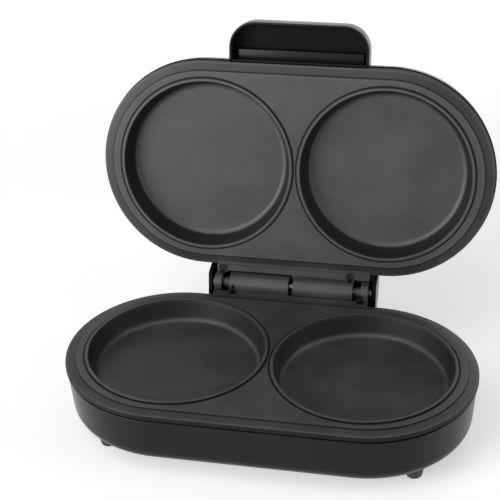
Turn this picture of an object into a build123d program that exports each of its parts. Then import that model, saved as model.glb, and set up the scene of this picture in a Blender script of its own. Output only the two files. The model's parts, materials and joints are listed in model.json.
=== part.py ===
# Electric omelette maker: a twin-bowl countertop cooker whose lid swings up on a rear hinge.
# Working frame: x along the long side, y to the back, z up, with y = 0 at the middle of the
# plates and z = 0 on the hinge axis, halfway between the two closed plates.
# Pieces of the lid are drawn closed and then swung open about the hinge.
import os

from build123d import *

# Plates, two castings from one mould, laid out round their bowls
bowl_mouth_radius = 71.0
bowl_draft = 4.8              # radius lost between mouth and floor
bowl_land = 0.8               # between the grooves of the two bowls
end_margin = 18.5             # from a bowl's mouth to the plate's end
side_margin = 17.0            # from a bowl's mouth to the plate's front or rear edge
bead_gap = 0.4                # between the two sets of beads when the lid is shut
bead_height = 1.2
bead_width = 2.6
bead_round = 0.5
groove_width = 1.2
groove_depth = 0.6
groove_offset = 0.3           # from the bead to the groove outside it
band_width = 8.0              # lower band round the cooking surface
band_step = 0.9
lip_drop = 1.2                # fall of the band from its step to the lip
lip_round = 1.0
plate_thickness = 3.4
skirt_depth = 5.6             # from the cooking surface to the skirt's lower edge
skirt_thickness = 3.0
bowl_depth = 18.0
bowl_floor_round = 5.0
bowl_wall = 2.8
bowl_floor_thickness = 3.0

# Hinge
hinge_setback = 15.0          # hinge axis behind the plates' rear edge
open_angle = 102.0
pin_radius = 3.0
pin_clearance = 0.05
pin_overhang = 2.4
barrel_radius = 9.0
barrel_inner_end = 2.0        # half of the gap between the two long barrels
barrel_outer_end = 53.0
small_boss_radius = 4.5
small_boss_start = 54.5
small_knuckle_start = 60.0
knuckle_end = 66.0
flange_thickness = 4.0
flange_gap = 0.5              # from a flange to the other plate's barrel
clip_width = 0.8
clip_outer_radius = 5.0
clip_groove_depth = 0.4
clip_clearance = 0.05
clip_mouth = 3.2

# Flange screws
flange_screw_inner = 49.5
flange_screw_outer = 60.5
flange_screw_setback = 12.0   # in front of the hinge axis
flange_ring_radius = 4.8
flange_ring_height = 0.5
flange_recess_radius = 3.4
flange_recess_depth = 2.0
flange_head_radius = 2.9
flange_head_height = 1.6
flange_screw_reach = 9.0

# Posts, bosses and hooks under each plate
post_x = 24.0
post_inset = 28.0             # inside the plate's edge
post_radius = 4.0
post_length = 19.2
clamp_x = 36.0
clamp_setback = 12.0          # inside the element's ring
clamp_boss_radius = 3.4
clamp_boss_height = 3.3
thermostat_inset = 30.0
thermostat_ear = 12.0
ear_boss_radius = 3.0
ear_boss_height = 4.2
fuse_inset = 44.0
fuse_boss_setback = 8.0
hook_x = 56.0
hook_width = 8.0
hook_thickness = 1.4
hook_reach = 8.4
hook_gap = 0.5                # from a hook's outer face to the seat lip
hook_toe = 1.0
hook_toe_height = 2.0
hook_clearance = 0.3

# Heating elements
element_radius = 3.2
element_inset = 9.0           # tube's centre line inside the plate's edge
element_gap = 0.1
element_end_x = 10.0
element_end_inset = 28.0
element_bend = 7.0
element_pin_radius = 1.5
element_pin_length = 8.0
clamp_width = 8.0
clamp_thickness = 1.0
clamp_toe = 2.6

# Heat shields
shield_thickness = 0.8
shield_inset = 6.0            # of the shield's edge inside the plate's edge
shield_rim = 9.0
shield_hole_radius = 8.0
shield_hole_rear_inset = 26.0
shield_hole_front_inset = 42.0

# Small screws
screw_radius = 1.45
screw_head_radius = 2.7
screw_head_height = 1.7
screw_clearance = 0.05
through_clearance = 0.25
cross_width = 0.8
cross_depth = 0.7

# Housings
housing_wall = 2.6
rim_gap = 2.5                 # dark recess between a plate's skirt and its housing
seat_gap = 0.1
seat_lip_inset = 2.2          # lip's outer face inside the plate's edge
seat_lip_width = 1.4
rim_round = 0.8
base_rim_inset = 1.0
base_floor_inset = 4.0
base_depth = 43.5             # from the skirt's lower edge to the underside of the base
base_edge_round = 12.0
lid_rim_overhang = 1.0
lid_top_inset = 2.5
lid_height = 29.0             # from the skirt's edge to the top of the lid
lid_edge_round = 13.0

# Rear of the base: hinge seat and heel
hinge_seat_setback = 6.6      # rear face of the seat in front of the hinge axis
hinge_seat_depth = 13.9
heel_half_width = 62.0
heel_reach = 15.0             # behind the hinge axis
heel_top = -25.5
heel_corner_round = 8.0
heel_edge_round = 3.0

# Rear hump of the lid
hump_radius = 21.0
hump_wall = 2.5
hump_half_width = 72.5
cheek_thickness = 3.0
hump_roof = 26.0
hump_edge_round = 2.0
hump_skirt = 2.0              # below the hinge axis when the lid is shut
cheek_front = 8.0             # cheek's lower corner in front of the hinge axis
cheek_slant = 5.0

# Handle
handle_half_width = 58.0
handle_reach = 32.5
handle_corner_radius = 21.0
handle_rim_height = 8.5
handle_top_height = 27.0
handle_wall = 2.5
handle_edge_round = 4.0
handle_root_depth = 8.4
handle_root_height = 6.0
handle_fit_gap = 0.1
handle_screw_x = 32.0
handle_screw_height = 21.6
handle_screw_reach = 8.0
mark_radius = 4.3
mark_depth = 0.2
mark_spacing = 47.0
mark_setback = 16.0

# Vents and lamps
vent_width = 1.0
vent_pitch = 2.1
vent_height = 7.0
vent_start = 61.0
right_vents = 12
left_vents = 2
lamp_x = 12.0
lamp_inset = 30.0
lens_radius = 4.5
lens_flange_radius = 5.6
lens_flange_height = 0.9
lens_clearance = 0.1
lens_depth = 4.2
lamp_radius = 2.3
floor_vent_length = 30.0
floor_vent_width = 2.4
floor_vent_pitch = 7.0
floor_vents = 7

# Feet
foot_height = 11.0
foot_top_radius = 8.3
foot_tip_radius = 6.0
foot_round = 2.0
foot_recess_radius = 2.5
foot_recess_depth = 5.0
foot_reach = 44.5             # beyond the centre of the base's round end
foot_inset = 35.5             # behind the plates' front edge
rear_foot_x = 50.0
rear_foot_setback = 4.0       # behind the hinge axis
foot_screw_head_radius = 2.2
foot_screw_head_height = 1.4
foot_boss_radius = 3.6
foot_boss_height = 7.0
foot_fit_gap = 0.1

# Thermostat, thermal fuse, terminal block, cord inlet and wiring
thermostat_radius = 8.0
thermostat_body_radius = 6.6
thermostat_body_height = 6.0
thermostat_tab_length = 7.0
tab_offset = 3.5              # each tab from the middle
tab_thickness = 0.8
tab_width = 3.5
tab_root = 2.0
fuse_radius = 2.4
fuse_length = 22.0
fuse_lead = 4.0
fuse_lead_radius = 0.6
block_length = 44.0
block_depth = 15.0
block_height = 12.0
block_x = -4.0
block_setback = 1.0           # in front of the hinge axis
block_poles = 4
block_pitch = 10.0
block_screw_radius = 1.6
inlet_x = 38.0
inlet_height = -38.5
inlet_bore_radius = 3.6
inlet_body_radius = 5.6
inlet_flange_radius = 8.5
inlet_flange_thickness = 2.0
inlet_length = 10.0
inlet_clearance = 0.1
wire_radius = 0.9
wire_gap = 0.1                # from a wire's end to what it meets
wire_in_block = 10.0          # length of each lead inside the terminal block
lead_in_run = 11.0            # straight run in front of the block
lead_depth = 8.0              # leads below the lower heat shield
crossing_gap = 3.5            # between leads that cross
plate_run = 10.2              # leads above the shield, below the plate
pin_run = 9.2
hole_offset = 5.0
earth_offset = 4.2
thermostat_lead_turn = 4.0
wide_bend = 8.0
middle_bend = 5.0
tight_bend = 3.0
pin_bend = 1.5
sleeve_lead_setback = 2.0
sleeve_radius = 2.5
sleeve_drop = 14.0
sleeve_clearance = 0.1
sleeve_start_inset = 22.0
sleeve_end_angle = 35.0
sleeve_notch = 7.0
lid_hole_radius = 3.0
lid_hole_height = 13.2
lid_wire_offset = 1.1
lid_wire_drop = 0.7
lid_wire_rise = 1.9
lamp_wire_x = 6.0
lamp_wire_turn = 32.0         # ahead of the shield's rear hole
lamp_board_height = 27.0
lamp_board_thickness = 1.2
lamp_board_half_length = 20.0
lamp_board_half_width = 6.0

# Place of the whole object: its origin lies on the table, under the middle of the open object
plates_centre_y = -43.7

# Values that follow from the sizes above
bowl_x = bowl_mouth_radius + bead_width + groove_offset + groove_width + bowl_land / 2
bowl_floor_radius = bowl_mouth_radius - bowl_draft
plate_half_length = bowl_x + bowl_mouth_radius + end_margin
plate_half_depth = bowl_mouth_radius + side_margin
arc_centre = plate_half_length - plate_half_depth
bead_top = -bead_gap / 2
surface = bead_top - bead_height
plate_under = surface - plate_thickness
band_top = surface - band_step
lip_top = band_top - lip_drop
skirt_edge = surface - skirt_depth
bowl_floor = bead_top - bowl_depth
bowl_under = bowl_floor - bowl_floor_thickness
hinge_y = plate_half_depth + hinge_setback
post_y = plate_half_depth - post_inset
thermostat_y = thermostat_inset - plate_half_depth
fuse_y = plate_half_depth - fuse_inset
fuse_boss_y = fuse_y - fuse_boss_setback
element_end_y = plate_half_depth - element_end_inset
shield_hole_rear_y = plate_half_depth - shield_hole_rear_inset
shield_hole_front_y = shield_hole_front_inset - plate_half_depth
lamp_y = lamp_inset - plate_half_depth
sleeve_start_y = plate_half_depth - sleeve_start_inset
flange_top = skirt_edge + flange_thickness
flange_edge = hinge_y - barrel_radius - flange_gap
flange_screw_y = hinge_y - flange_screw_setback
post_end = plate_under - post_length
bore_radius = pin_radius + pin_clearance
element_ring = plate_half_depth - element_inset
clamp_y = element_ring - clamp_setback
element_z = plate_under - element_gap - element_radius
shield_top = post_end
base_rim = skirt_edge - rim_gap
base_floor = skirt_edge - base_depth
base_inside = base_floor + housing_wall
lid_rim = -base_rim
lid_top = lid_height - skirt_edge
lid_inside = lid_top - housing_wall
foot_base = base_floor - foot_height
pin_half_length = knuckle_end + pin_overhang
clip_start = knuckle_end + (pin_overhang - clip_width) / 2
thread_hole = screw_radius + screw_clearance
through_hole = screw_radius + through_clearance
hinge_seat_rear = hinge_y - hinge_seat_setback
seat_top = skirt_edge - seat_gap
hinge_seat_under = seat_top - hinge_seat_depth
heel_rear = hinge_y + heel_reach
lip_outer = plate_half_depth - seat_lip_inset
lip_inner = lip_outer - seat_lip_width
hook_face = hook_gap - lip_inner
hook_end = skirt_edge - hook_reach
hook_catch = hook_end + hook_toe_height + hook_clearance

# The base stands still; the lid is swung open about the hinge
base_place = Location((0, plates_centre_y, -foot_base))
hinge_turn = Location((0, 0, 0), (-open_angle, 0, 0))
swing = Location((0, hinge_y, 0)) * hinge_turn * Location((0, -hinge_y, 0))
lid_place = base_place * swing
turned_over = Location((0, 0, 0), (0, 180, 0))
upper_place = lid_place * turned_over


def stadium(radius, mode=Mode.ADD):
    """Outline shared by plates and housings: two half circles on the plate's own centres."""
    SlotOverall(2 * (arc_centre + radius), 2 * radius, mode=mode)


def hull(rim_radius, end_radius, rim_level, end_level, edge_round):
    """Solid form of a housing, from its open rim to its rounded floor or top."""
    with BuildPart() as form:
        with BuildSketch(Plane.XY.offset(rim_level)):
            stadium(rim_radius)
        with BuildSketch(Plane.XY.offset(end_level)):
            stadium(end_radius)
        loft(ruled=True)
        end_face = form.faces().filter_by(Axis.Z).sort_by(lambda face: abs(face.center().Z - end_level))[0]
        fillet(end_face.edges(), edge_round)
    return form.part


def upright(radius, bottom, top, spots, mode=Mode.ADD):
    """Round posts or holes between two heights at each of the spots."""
    with BuildSketch(Plane.XY.offset(bottom)) as rounds:
        with Locations(*spots):
            Circle(radius)
    extrude(rounds.sketch, amount=top - bottom, mode=mode)


def block(x_range, y_range, z_range, mode=Mode.ADD):
    """Rectangular block between two corners."""
    with BuildSketch(Plane.XY.offset(z_range[0])) as base:
        with Locations(((x_range[0] + x_range[1]) / 2, (y_range[0] + y_range[1]) / 2)):
            Rectangle(x_range[1] - x_range[0], y_range[1] - y_range[0])
    extrude(base.sketch, amount=z_range[1] - z_range[0], mode=mode)


def along_x(radius, start, end, y, z, mode=Mode.ADD):
    """Round bar or bore along x."""
    with BuildSketch(Plane.YZ.offset(start)) as disc:
        with Locations((y, z)):
            Circle(radius)
    extrude(disc.sketch, amount=end - start, mode=mode)


def side_profile(points, start, end, mode=Mode.ADD):
    """Straight-sided (y, z) profile carried along x."""
    with BuildSketch(Plane.YZ.offset(start)) as profile:
        with BuildLine():
            Polyline(*points, close=True)
        make_face()
    extrude(profile.sketch, amount=end - start, mode=mode)


def along_y(radius, start, end, spots, mode=Mode.ADD):
    """Round bars or bores along y at each (x, z) spot."""
    with BuildSketch(Plane.XZ.offset(-end)) as discs:
        with Locations(*spots):
            Circle(radius)
    extrude(discs.sketch, amount=end - start, mode=mode)


def wire(points, bends, radius=wire_radius):
    """Round lead along straight runs joined by arcs."""
    with BuildLine() as route:
        FilletPolyline(*points, radius=bends)
    start = Plane(origin=route.line @ 0, z_dir=route.line % 0)
    with BuildSketch(start) as section:
        Circle(radius)
    sweep(section.sketch, path=route.line)


def screws(spots, seat, reach, head_radius, head_height, facing):
    """Cross-headed screws on vertical axes. facing is -1 where the heads are below."""
    with BuildPart() as group:
        upright(screw_radius, seat, seat - facing * reach, spots)
        upright(head_radius, seat, seat + facing * head_height, spots)
        head_end = seat + facing * head_height
        with BuildSketch(Plane.XY.offset(head_end)):
            with Locations(*spots):
                Rectangle(2 * head_radius - 1.4, cross_width)
                Rectangle(cross_width, 2 * head_radius - 1.4)
        extrude(amount=-facing * cross_depth, mode=Mode.SUBTRACT)
    return group


four_posts = [(x, y) for x in (-post_x, post_x) for y in (-post_y, post_y)]
four_clamps = [(x, y) for x in (-clamp_x, clamp_x) for y in (-clamp_y, clamp_y)]
lower_flange_spots = [(-flange_screw_inner, flange_screw_y), (flange_screw_outer, flange_screw_y)]
upper_flange_spots = [(-x, y) for x, y in lower_flange_spots]

# Plate casting: cooking surface, stepped band, skirt, two bowls with their beads and grooves,
# rear flange, one long barrel, one small knuckle, and the posts and hooks underneath
with BuildPart() as lower_plate:
    with BuildSketch(Plane.XY.offset(skirt_edge)):
        stadium(plate_half_depth)
    extrude(amount=lip_top - skirt_edge)
    fillet(lower_plate.edges().group_by(Axis.Z)[-1], lip_round)
    with BuildSketch(Plane.XY.offset(lip_top)):
        stadium(plate_half_depth - lip_round)
    with BuildSketch(Plane.XY.offset(band_top)):
        stadium(plate_half_depth - band_width)
    loft(ruled=True)
    with BuildSketch(Plane.XY.offset(band_top)):
        stadium(plate_half_depth - band_width)
    extrude(amount=band_step)
    fillet(lower_plate.edges().group_by(Axis.Z)[-1], band_step / 2)
    with BuildSketch(Plane.XY.offset(skirt_edge)):
        stadium(plate_half_depth - skirt_thickness)
    extrude(amount=plate_under - skirt_edge, mode=Mode.SUBTRACT)

    for centre in (-bowl_x, bowl_x):
        bowl_axis = Axis((centre, 0, 0), (0, 0, 1))
        section = Plane(origin=(centre, 0, 0), x_dir=(1, 0, 0), z_dir=(0, -1, 0))
        outer_mouth = bowl_mouth_radius + bowl_wall
        outer_floor = bowl_floor_radius + bowl_wall
        bead_outer = bowl_mouth_radius + bead_width
        groove_inner = bead_outer + groove_offset
        with BuildSketch(section) as bowl_outside:
            with BuildLine():
                Polyline((0, surface), (outer_mouth, surface), (outer_floor, bowl_under),
                         (0, bowl_under), close=True)
            make_face()
            floor_corner = bowl_outside.vertices().group_by(Axis.Y)[0].sort_by(Axis.X)[-1]
            fillet(floor_corner, bowl_floor_round + bowl_wall)
        revolve(axis=bowl_axis)
        with BuildSketch(section) as bead:
            with Locations((bowl_mouth_radius + bead_width / 2, surface + bead_height / 2 - bead_round)):
                Rectangle(bead_width, bead_height + 2 * bead_round)
            fillet(bead.vertices().group_by(Axis.Y)[-1], bead_round)
        revolve(axis=bowl_axis)
        with BuildSketch(section):
            with Locations((groove_inner + groove_width / 2, surface)):
                Rectangle(groove_width, 2 * groove_depth)
        revolve(axis=bowl_axis, mode=Mode.SUBTRACT)
    for centre in (-bowl_x, bowl_x):
        bowl_axis = Axis((centre, 0, 0), (0, 0, 1))
        section = Plane(origin=(centre, 0, 0), x_dir=(1, 0, 0), z_dir=(0, -1, 0))
        with BuildSketch(section) as bowl_inside:
            with BuildLine():
                Polyline((0, 1), (bowl_mouth_radius, 1), (bowl_mouth_radius, surface),
                         (bowl_floor_radius, bowl_floor), (0, bowl_floor), close=True)
            make_face()
            floor_corner = bowl_inside.vertices().group_by(Axis.Y)[0].sort_by(Axis.X)[-1]
            fillet(floor_corner, bowl_floor_round)
        revolve(axis=bowl_axis, mode=Mode.SUBTRACT)

    # rear flange, cut back where the other plate's barrel turns
    block((-knuckle_end, knuckle_end), (hinge_y - hinge_setback - skirt_thickness, flange_edge),
          (skirt_edge, flange_top))
    for start, end in ((-barrel_outer_end, -barrel_inner_end), (small_knuckle_start, knuckle_end)):
        along_x(barrel_radius, start, end, hinge_y, 0)
        block((start, end), (flange_edge - 1, hinge_y), (skirt_edge, flange_top))
    along_x(small_boss_radius, small_boss_start, small_knuckle_start, hinge_y, 0)
    for x, y in lower_flange_spots:
        ring_top = flange_top + flange_ring_height
        upright(flange_ring_radius, flange_top - 1, ring_top, [(x, y)])
        upright(flange_recess_radius, ring_top - flange_recess_depth, ring_top + 5, [(x, y)], Mode.SUBTRACT)
        upright(through_hole, skirt_edge, ring_top, [(x, y)], Mode.SUBTRACT)
    along_x(bore_radius, -knuckle_end, knuckle_end, hinge_y, 0, Mode.SUBTRACT)

    # posts for the heat shield, bosses for the clamps, thermostat and fuse, and two front hooks
    upright(post_radius, plate_under + 0.5, post_end, four_posts)
    upright(clamp_boss_radius, plate_under + 0.5, plate_under - clamp_boss_height, four_clamps)
    ear_spots = [(-thermostat_ear, thermostat_y), (thermostat_ear, thermostat_y)]
    upright(ear_boss_radius, plate_under + 0.5, plate_under - ear_boss_height, ear_spots)
    upright(ear_boss_radius, plate_under + 0.5, plate_under - fuse_radius, [(0, fuse_boss_y)])
    upright(thread_hole, post_end, post_end + 8, four_posts, Mode.SUBTRACT)
    upright(thread_hole, plate_under - clamp_boss_height, plate_under + 1, four_clamps, Mode.SUBTRACT)
    upright(thread_hole, plate_under - ear_boss_height, plate_under + 1, ear_spots, Mode.SUBTRACT)
    upright(thread_hole, plate_under - fuse_radius, plate_under + 1, [(0, fuse_boss_y)], Mode.SUBTRACT)
    for x in (-hook_x, hook_x):
        x_range = (x - hook_width / 2, x + hook_width / 2)
        block(x_range, (hook_face, hook_face + hook_thickness), (hook_end, plate_under + 0.5))
        block(x_range, (hook_face - hook_toe, hook_face + 0.5), (hook_end, hook_end + hook_toe_height))

# Heating element: a tube bent round under the cooking surface, with a thinner pin at each end
with BuildPart() as lower_element:
    end_y = element_end_y
    bend_y = element_ring - element_bend
    bend_x = element_end_x + element_bend
    with BuildLine(Plane.XY.offset(element_z)):
        Line((element_end_x, end_y), (element_end_x, bend_y))
        CenterArc((bend_x, bend_y), element_bend, 180, -90)
        Line((bend_x, element_ring), (arc_centre, element_ring))
        CenterArc((arc_centre, 0), element_ring, 90, -180)
        Line((arc_centre, -element_ring), (-arc_centre, -element_ring))
        CenterArc((-arc_centre, 0), element_ring, 270, -180)
        Line((-arc_centre, element_ring), (-bend_x, element_ring))
        CenterArc((-bend_x, bend_y), element_bend, 90, -90)
        Line((-element_end_x, bend_y), (-element_end_x, end_y))
    with BuildSketch(Plane(origin=(element_end_x, end_y, element_z), z_dir=(0, 1, 0))):
        Circle(element_radius)
    sweep()
    with BuildSketch(Plane(origin=(0, end_y, element_z), x_dir=(1, 0, 0), z_dir=(0, -1, 0))):
        with Locations((-element_end_x, 0), (element_end_x, 0)):
            Circle(element_pin_radius)
    extrude(amount=element_pin_length)

# Spring-steel clamps that hold the element up against the plate
with BuildPart() as lower_element_clamps:
    foot_top = plate_under - clamp_boss_height
    foot_under = foot_top - clamp_thickness
    under_tube = element_z - element_radius - element_gap
    near_tube = element_ring - element_radius - 1
    far_tube = element_ring + clamp_toe
    inner_end = clamp_y - clamp_boss_radius
    outline = [(inner_end, foot_top), (near_tube - 3, foot_top), (near_tube, under_tube),
               (far_tube, under_tube), (far_tube, under_tube - clamp_thickness),
               (near_tube - 0.5, under_tube - clamp_thickness), (near_tube - 3.5, foot_under),
               (inner_end, foot_under)]
    mirrored = [(-y, z) for y, z in outline]
    for x in (-clamp_x, clamp_x):
        side_profile(outline, x - clamp_width / 2, x + clamp_width / 2)
        side_profile(mirrored, x - clamp_width / 2, x + clamp_width / 2)
    upright(through_hole, foot_under - 1, foot_top + 1, four_clamps, Mode.SUBTRACT)
lower_clamp_screws = screws(four_clamps, foot_under, clamp_boss_height,
                            screw_head_radius, screw_head_height, -1)

# Heat shield: a thin pan under the bowls, with holes for the wires
with BuildPart() as lower_heat_shield:
    shield_radius = plate_half_depth - shield_inset
    with BuildSketch(Plane.XY.offset(shield_top)):
        stadium(shield_radius)
    extrude(amount=-shield_thickness)
    with BuildSketch(Plane.XY.offset(shield_top - shield_thickness)):
        stadium(shield_radius)
        stadium(shield_radius - shield_thickness, Mode.SUBTRACT)
    extrude(amount=shield_rim)
    upright(through_hole, shield_top - 2, shield_top + 1, four_posts, Mode.SUBTRACT)
    wire_holes = [(0, shield_hole_rear_y), (0, shield_hole_front_y)]
    upright(shield_hole_radius, shield_top - 2, shield_top + 1, wire_holes, Mode.SUBTRACT)
    block((-sleeve_notch / 2, sleeve_notch / 2), (shield_radius - 5, shield_radius + 1),
          (-sleeve_drop - sleeve_notch / 2, shield_top + shield_rim + 1), Mode.SUBTRACT)
lower_shield_screws = screws(four_posts, shield_top - shield_thickness, 7,
                             screw_head_radius, screw_head_height, -1)

# Screws through each plate's rear flange, with their heads in the recesses
flange_head_seat = flange_top + flange_ring_height - flange_recess_depth
lower_flange_screws = screws(lower_flange_spots, flange_head_seat, flange_screw_reach,
                             flange_head_radius, flange_head_height, 1)

# Thermostat: a capped disc against the lower plate, with a fixing ear each side and two tabs
with BuildPart() as thermostat:
    cap_top = plate_under - 0.1
    ear_top = plate_under - ear_boss_height
    upright(thermostat_radius, cap_top, ear_top, [(0, thermostat_y)])
    block((-thermostat_ear - 3, thermostat_ear + 3), (thermostat_y - 3, thermostat_y + 3),
          (ear_top - 1, ear_top))
    body_end = ear_top - 1 - thermostat_body_height
    upright(thermostat_body_radius, ear_top, body_end, [(0, thermostat_y)])
    upright(through_hole, ear_top - 2, ear_top + 1, ear_spots, Mode.SUBTRACT)
    for x in (-tab_offset, tab_offset):
        block((x - tab_thickness / 2, x + tab_thickness / 2),
              (thermostat_y - tab_root, thermostat_y + tab_root + thermostat_tab_length),
              (body_end + 1, body_end + 1 + tab_width))
thermostat_screws = screws(ear_spots, ear_top - 1, ear_boss_height,
                           screw_head_radius, screw_head_height, -1)

# Thermal fuse in its sleeve, and the clip that holds it against the lower plate
fuse_z = plate_under - 0.1 - fuse_radius
with BuildPart() as thermal_fuse:
    along_x(fuse_radius, -fuse_length / 2, fuse_length / 2, fuse_y, fuse_z)
    fillet(thermal_fuse.edges().filter_by(GeomType.CIRCLE), 0.6)
    along_x(fuse_lead_radius, -fuse_length / 2 - fuse_lead, fuse_length / 2 + fuse_lead, fuse_y, fuse_z)
with BuildPart() as thermal_fuse_clip:
    clip_top = plate_under - fuse_radius
    clip_under = fuse_z - fuse_radius - 0.1
    clip_points = [(fuse_boss_y - 3, clip_top), (fuse_y - fuse_radius - 2, clip_top),
                   (fuse_y - fuse_radius, clip_under), (fuse_y + 3, clip_under),
                   (fuse_y + 3, clip_under - 0.8), (fuse_y - fuse_radius - 0.6, clip_under - 0.8),
                   (fuse_y - fuse_radius - 2.6, clip_top - 0.8), (fuse_boss_y - 3, clip_top - 0.8)]
    side_profile(clip_points, -3, 3)
    upright(through_hole, clip_top - 2, clip_top + 1, [(0, fuse_boss_y)], Mode.SUBTRACT)
thermal_fuse_screw = screws([(0, fuse_boss_y)], clip_top - 0.8, 3, 2.4, screw_head_height, -1)

# Base housing: one moulded shell, open at the top, with the hinge seat and the heel behind it
base_outside = hull(plate_half_depth - base_rim_inset, plate_half_depth - base_floor_inset,
                    base_rim, base_floor, base_edge_round)
base_inner = hull(plate_half_depth - base_rim_inset - housing_wall,
                  plate_half_depth - base_floor_inset - housing_wall,
                  base_rim, base_inside, base_edge_round - housing_wall)
foot_x = arc_centre + foot_reach
foot_y = foot_inset - plate_half_depth
foot_spots = [(-foot_x, foot_y), (foot_x, foot_y),
              (-rear_foot_x, hinge_y + rear_foot_setback), (rear_foot_x, hinge_y + rear_foot_setback)]
foot_names = ["front_left_foot", "front_right_foot", "rear_left_foot", "rear_right_foot"]
wall_y = plate_half_depth - base_floor_inset
with BuildPart() as heel:
    block((-heel_half_width, heel_half_width), (wall_y - 20, heel_rear), (base_floor, heel_top))
    fillet(heel.edges().filter_by(Axis.Z).group_by(Axis.Y)[-1], heel_corner_round)
    for level in (0, -1):
        around = heel.faces().sort_by(Axis.Z)[level].edges().sort_by(Axis.Y)[1:]
        fillet(around, heel_edge_round)
with BuildPart() as base_housing:
    add(base_outside)
    fillet(base_housing.edges().group_by(Axis.Z)[-1], rim_round)
    add(heel.part)
    block((-knuckle_end, knuckle_end), (wall_y - 20, hinge_seat_rear), (hinge_seat_under, seat_top))
    with BuildSketch(Plane.XY.offset(base_rim - 1)):
        stadium(lip_outer)
    extrude(amount=seat_top - base_rim + 1)
    add(base_inner, mode=Mode.SUBTRACT)
    with BuildSketch(Plane.XY.offset(base_rim - 1)):
        stadium(lip_inner)
    extrude(amount=seat_top - base_rim + 2, mode=Mode.SUBTRACT)
    block((-heel_half_width + housing_wall, heel_half_width - housing_wall),
          (wall_y - 12, heel_rear - housing_wall), (base_inside, heel_top - housing_wall), Mode.SUBTRACT)
    block((-knuckle_end + housing_wall, knuckle_end - housing_wall),
          (wall_y - 12, hinge_seat_rear - housing_wall),
          (hinge_seat_under + housing_wall, seat_top - housing_wall), Mode.SUBTRACT)
    upright(foot_boss_radius, base_inside - 1, base_inside + foot_boss_height, foot_spots)
    upright(thread_hole, base_floor - 1, base_inside + foot_boss_height, foot_spots, Mode.SUBTRACT)
    upright(flange_ring_radius - 1, hinge_seat_under + 1, seat_top, lower_flange_spots)
    upright(thread_hole, hinge_seat_under + housing_wall, seat_top + 1, lower_flange_spots, Mode.SUBTRACT)
    along_y(sleeve_radius + sleeve_clearance, hinge_seat_rear - housing_wall - 1, hinge_seat_rear + 1,
            [(0, -sleeve_drop)], Mode.SUBTRACT)
    along_y(inlet_body_radius + inlet_clearance, heel_rear - housing_wall - 1, heel_rear + 1,
            [(inlet_x, inlet_height)], Mode.SUBTRACT)
    with BuildSketch(Plane.XY.offset(base_floor - 1)):
        for side in (-1, 1):
            with Locations((side * bowl_x, 0)):
                with GridLocations(floor_vent_pitch, 1, floor_vents, 1):
                    SlotOverall(floor_vent_length, floor_vent_width, rotation=90)
    extrude(amount=housing_wall + 2, mode=Mode.SUBTRACT)
    for x in (-hook_x, hook_x):
        block((x - hook_width / 2 - hook_clearance, x + hook_width / 2 + hook_clearance),
              (hook_face - hook_toe - hook_clearance, hook_face + hook_thickness),
              (hook_end - hook_clearance, hook_catch), Mode.SUBTRACT)

# Feet: tapered, rounded at the tip, with a recessed screw each
base_clearance_hull = hull(plate_half_depth - base_rim_inset + foot_fit_gap,
                           plate_half_depth - base_floor_inset + foot_fit_gap,
                           base_rim, base_floor - foot_fit_gap, base_edge_round)
feet = {}
for name, (x, y) in zip(foot_names, foot_spots):
    rear = y > 0
    foot_top = base_floor - foot_fit_gap if rear else base_floor + base_edge_round / 2
    with BuildPart() as foot:
        taper = (foot_top_radius - foot_tip_radius) / foot_height
        top_radius = foot_top_radius + taper * (foot_top - base_floor)
        with BuildSketch(Plane.XY.offset(foot_base)):
            with Locations((x, y)):
                Circle(foot_tip_radius)
        with BuildSketch(Plane.XY.offset(foot_top)):
            with Locations((x, y)):
                Circle(top_radius)
        loft(ruled=True)
        fillet(foot.edges().group_by(Axis.Z)[0], foot_round)
        if not rear:
            add(base_clearance_hull, mode=Mode.SUBTRACT)
        upright(foot_recess_radius, foot_base, foot_base + foot_recess_depth, [(x, y)], Mode.SUBTRACT)
        upright(through_hole, foot_base, foot_top + 1, [(x, y)], Mode.SUBTRACT)
    feet[name] = foot
foot_screws = screws(foot_spots, foot_base + foot_recess_depth, foot_height + 3,
                     foot_screw_head_radius, foot_screw_head_height, -1)

# Hinge pin, grooved near both ends, and the open clips that keep it in
with BuildPart() as hinge_pin:
    along_x(pin_radius, -pin_half_length, pin_half_length, hinge_y, 0)
    chamfer(hinge_pin.edges().filter_by(GeomType.CIRCLE), 0.4)
    for side in (-1, 1):
        groove_at = side * (clip_start + clip_width / 2)
        with BuildSketch(Plane.YZ.offset(groove_at)):
            with Locations((hinge_y, 0)):
                Circle(pin_radius + 1)
                Circle(pin_radius - clip_groove_depth, mode=Mode.SUBTRACT)
        extrude(amount=clip_width / 2 + clip_clearance, both=True, mode=Mode.SUBTRACT)
with BuildPart() as pin_clips:
    for side in (-1, 1):
        clip_at = side * (clip_start + clip_width / 2)
        with BuildSketch(Plane.YZ.offset(clip_at)):
            with Locations((hinge_y, 0)):
                Circle(clip_outer_radius)
                Circle(pin_radius - clip_groove_depth + clip_clearance, mode=Mode.SUBTRACT)
            with Locations((hinge_y, -clip_outer_radius)):
                Rectangle(clip_mouth, 2 * clip_outer_radius, mode=Mode.SUBTRACT)
        extrude(amount=clip_width / 2, both=True)

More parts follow.
